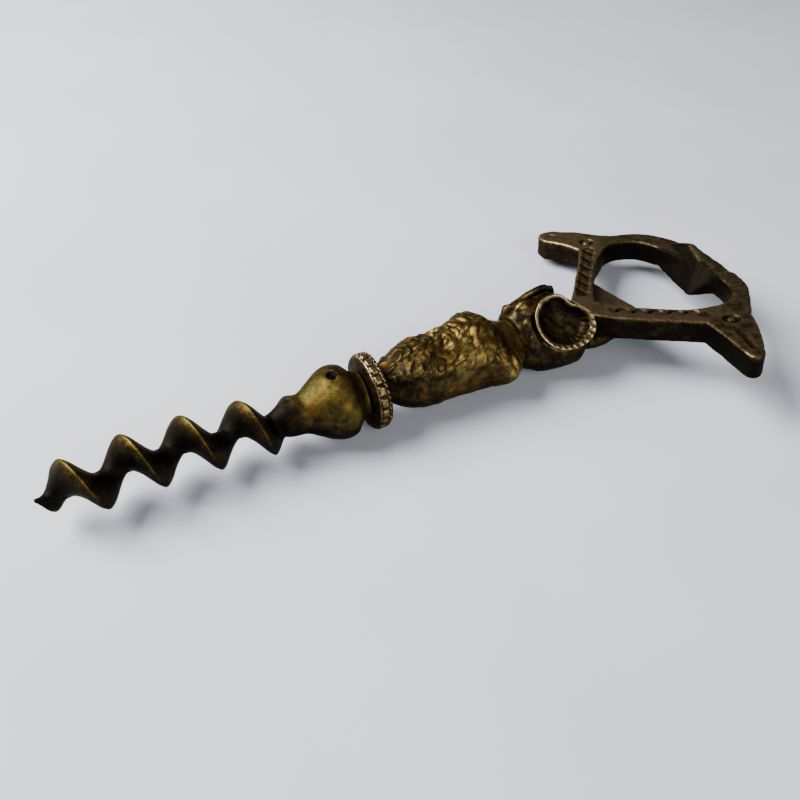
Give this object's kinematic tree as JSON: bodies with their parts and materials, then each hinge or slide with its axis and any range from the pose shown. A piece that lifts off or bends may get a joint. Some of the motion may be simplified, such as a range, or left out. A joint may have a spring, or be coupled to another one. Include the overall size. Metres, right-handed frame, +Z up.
{
  "type": "figural pull corkscrew",
  "caption": "Straight-pull corkscrew cast as a big-eyed owl-like figure, with a helical worm and a flat winged crown-cap opener frame as its handle.",
  "frame": {"origin": "middle of the part's box, on the table it lies on", "axes": "+X along the corkscrew's line from the worm's tip to the handle, +Z up from the table; the part lies rolled 8.6 degrees about X with its rear wing low"},
  "size_m": [0.1252, 0.0586, 0.0144],
  "materials": {
    "dark_bronze_worm": "near-black brown patina, olive-gold where the crests are worn",
    "dark_pin": "dark sunken pin end",
    "polished_old_brass": "smooth worn brass with brown and orange patches",
    "beaded_brass": "worn brass with dark grooves",
    "feather_brass": "cast feather texture, bright strokes over brown patina",
    "inner_rod": "plain turned brass, hidden",
    "dark_head_brass": "dark olive-brown patina",
    "eye_disc_brass": "worn rims, dark stippled bowls",
    "handle_brass": "brown-olive patina, tan worn edges, dark recesses"
  },
  "bodies": {
    "root": {"worm": "dark_bronze_worm", "worm_cross_pin": "dark_pin", "bulb": "polished_old_brass", "beaded_collar": "beaded_brass", "torso": "feather_brass", "tie_rod": "inner_rod", "head": "dark_head_brass", "front_eye_disc": "eye_disc_brass", "rear_eye_disc": "eye_disc_brass", "opener_frame": "handle_brass", "handle_dowel": "inner_rod"}
  },
  "joints": []
}
